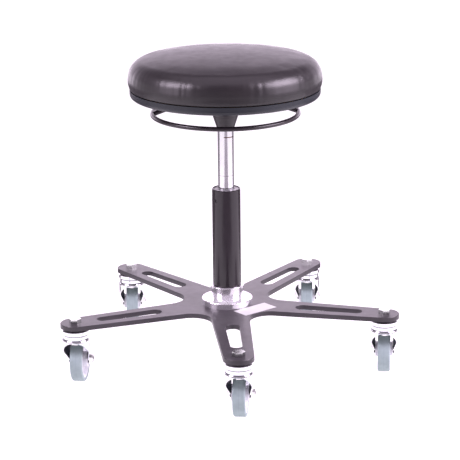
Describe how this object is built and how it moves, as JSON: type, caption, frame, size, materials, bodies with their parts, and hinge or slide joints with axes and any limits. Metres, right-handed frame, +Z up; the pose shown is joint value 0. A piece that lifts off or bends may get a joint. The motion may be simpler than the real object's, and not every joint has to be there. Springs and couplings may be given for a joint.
{
  "type": "rolling stool",
  "caption": "Round padded stool on a gas-lift column with a release ring under the seat and a flat star base on swivel castors.",
  "frame": {"origin": "on the floor, on the column's axis", "axes": "+Z up along the column, -Y along the front arm, +X to the right seen from the front"},
  "size_m": [0.5949, 0.6084, 0.5663],
  "materials": {
    "satin_plate": "satin dark grey",
    "polished": "polished",
    "zinc": "bright zinc",
    "black_steel": "semi-gloss black",
    "pan_plastic": "dark moulded",
    "seat_vinyl": "black vinyl",
    "board_wood": "plain",
    "bush_plastic": "pale moulded",
    "guard_plastic": "pale moulded",
    "core_plastic": "light grey moulded",
    "tread_rubber": "light grey"
  },
  "bodies": {
    "base": {"base_plate": "satin_plate", "hub_socket": "polished", "hub_screws": "zinc", "column_tube": "black_steel", "guide_bush": "bush_plastic", "bush_screws": "black_steel", "thrust_washers": "zinc", "thrust_balls": "zinc", "castor_bolts": "zinc", "castor_nuts": "zinc", "kingpin_sleeves": "zinc", "swivel_races": "polished", "swivel_balls": "zinc"},
    "spindle": {"piston_rod": "zinc", "piston": "zinc", "rod_clip": "zinc"},
    "seat": {"pressure_tube": "polished", "tube_gland": "zinc", "valve_body": "zinc", "mechanism_housing": "black_steel", "rocker_pin": "zinc", "seat_screws": "zinc", "tee_nuts": "zinc", "seat_pan": "pan_plastic", "seat_board": "board_wood", "seat_cushion": "seat_vinyl"},
    "release": {"release_ring": "black_steel", "rocker": "black_steel"},
    "valve_pin": {"valve_pin": "zinc"},
    "castor_front": {"fork_front": "polished", "axle_bolt_front": "zinc", "axle_nut_front": "zinc", "thread_guards_front": "guard_plastic"},
    "wheel_front": {"wheel_core_front": "core_plastic", "tread_front": "tread_rubber"},
    "castor_right": {"fork_right": "polished", "axle_bolt_right": "zinc", "axle_nut_right": "zinc", "thread_guards_right": "guard_plastic"},
    "wheel_right": {"wheel_core_right": "core_plastic", "tread_right": "tread_rubber"},
    "castor_rear_right": {"fork_rear_right": "polished", "axle_bolt_rear_right": "zinc", "axle_nut_rear_right": "zinc", "thread_guards_rear_right": "guard_plastic"},
    "wheel_rear_right": {"wheel_core_rear_right": "core_plastic", "tread_rear_right": "tread_rubber"},
    "castor_rear_left": {"fork_rear_left": "polished", "axle_bolt_rear_left": "zinc", "axle_nut_rear_left": "zinc", "thread_guards_rear_left": "guard_plastic"},
    "wheel_rear_left": {"wheel_core_rear_left": "core_plastic", "tread_rear_left": "tread_rubber"},
    "castor_left": {"fork_left": "polished", "axle_bolt_left": "zinc", "axle_nut_left": "zinc", "thread_guards_left": "guard_plastic"},
    "wheel_left": {"wheel_core_left": "core_plastic", "tread_left": "tread_rubber"}
  },
  "joints": [
    {"name": "seat_swivel", "type": "hinge", "parent": "base", "child": "spindle", "pos_m": [0, 0, 0.12], "axis": [0, 0, 1], "continuous": true},
    {"name": "seat_lift", "type": "slide", "parent": "spindle", "child": "seat", "axis": [0, 0, 1], "range_m": [-0.095, 0]},
    {"name": "release_lift", "type": "hinge", "parent": "seat", "child": "release", "pos_m": [0, -0.02, 0.476], "axis": [-1, 0, 0], "range_deg": [0, 7], "stiffness_Nm_per_rad": 3.5, "springref_deg": -9.74},
    {"name": "valve_press", "type": "slide", "parent": "seat", "child": "valve_pin", "axis": [0, 0, -1], "range_m": [0, 0.0025]},
    {"name": "swivel_front", "type": "hinge", "parent": "base", "child": "castor_front", "pos_m": [0, -0.283, 0.098], "axis": [0, 0, 1], "continuous": true},
    {"name": "roll_front", "type": "hinge", "parent": "castor_front", "child": "wheel_front", "pos_m": [0.00521, -0.25346, 0.04], "axis": [0.9848, -0.1736, 0], "continuous": true},
    {"name": "swivel_right", "type": "hinge", "parent": "base", "child": "castor_right", "pos_m": [0.26915, -0.08745, 0.098], "axis": [0, 0, 1], "continuous": true},
    {"name": "roll_right", "type": "hinge", "parent": "castor_right", "child": "wheel_right", "pos_m": [0.27384, -0.05782, 0.04], "axis": [0.9877, -0.1564, 0], "continuous": true},
    {"name": "swivel_rear_right", "type": "hinge", "parent": "base", "child": "castor_rear_right", "pos_m": [0.16634, 0.22895, 0.098], "axis": [0, 0, 1], "continuous": true},
    {"name": "roll_rear_right", "type": "hinge", "parent": "castor_rear_right", "child": "wheel_rear_right", "pos_m": [0.16948, 0.25879, 0.04], "axis": [0.9945, -0.1045, 0], "continuous": true},
    {"name": "swivel_rear_left", "type": "hinge", "parent": "base", "child": "castor_rear_left", "pos_m": [-0.16634, 0.22895, 0.098], "axis": [0, 0, 1], "continuous": true},
    {"name": "roll_rear_left", "type": "hinge", "parent": "castor_rear_left", "child": "wheel_rear_left", "pos_m": [-0.1653, 0.25893, 0.04], "axis": [0.9994, -0.0349, 0], "continuous": true},
    {"name": "swivel_left", "type": "hinge", "parent": "base", "child": "castor_left", "pos_m": [-0.26915, -0.08745, 0.098], "axis": [0, 0, 1], "continuous": true},
    {"name": "roll_left", "type": "hinge", "parent": "castor_left", "child": "wheel_left", "pos_m": [-0.26343, -0.058, 0.04], "axis": [0.9816, -0.1908, 0], "continuous": true}
  ],
  "couplings": [
    {"joint": "valve_press", "follows": "release_lift", "m_per_rad": 0.02}
  ]
}
